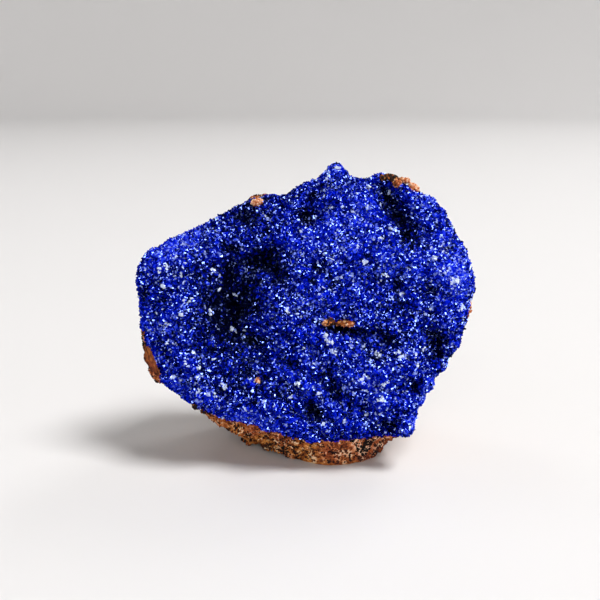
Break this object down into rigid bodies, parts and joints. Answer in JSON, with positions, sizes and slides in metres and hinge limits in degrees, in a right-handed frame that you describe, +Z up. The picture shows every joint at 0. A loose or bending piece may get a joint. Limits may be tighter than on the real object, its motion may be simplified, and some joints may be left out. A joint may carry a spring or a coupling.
{
  "type": "azurite specimen",
  "caption": "Hand specimen of azurite: a crust of tiny deep blue crystals on a broken piece of brown limonite, standing on a flat facet.",
  "frame": {"origin": "on the flat facet that the rock rests on, near its middle and below the centre of mass", "axes": "+Z up, +X to the right along the crystal face, -Y out of the crystal face, which leans back 15 degrees from upright"},
  "size_m": [0.0502, 0.0236, 0.0439],
  "materials": {
    "azurite": "satin",
    "limonite": "matte"
  },
  "bodies": {
    "root": {"azurite_crust": "azurite", "limonite_matrix": "limonite"}
  },
  "joints": []
}
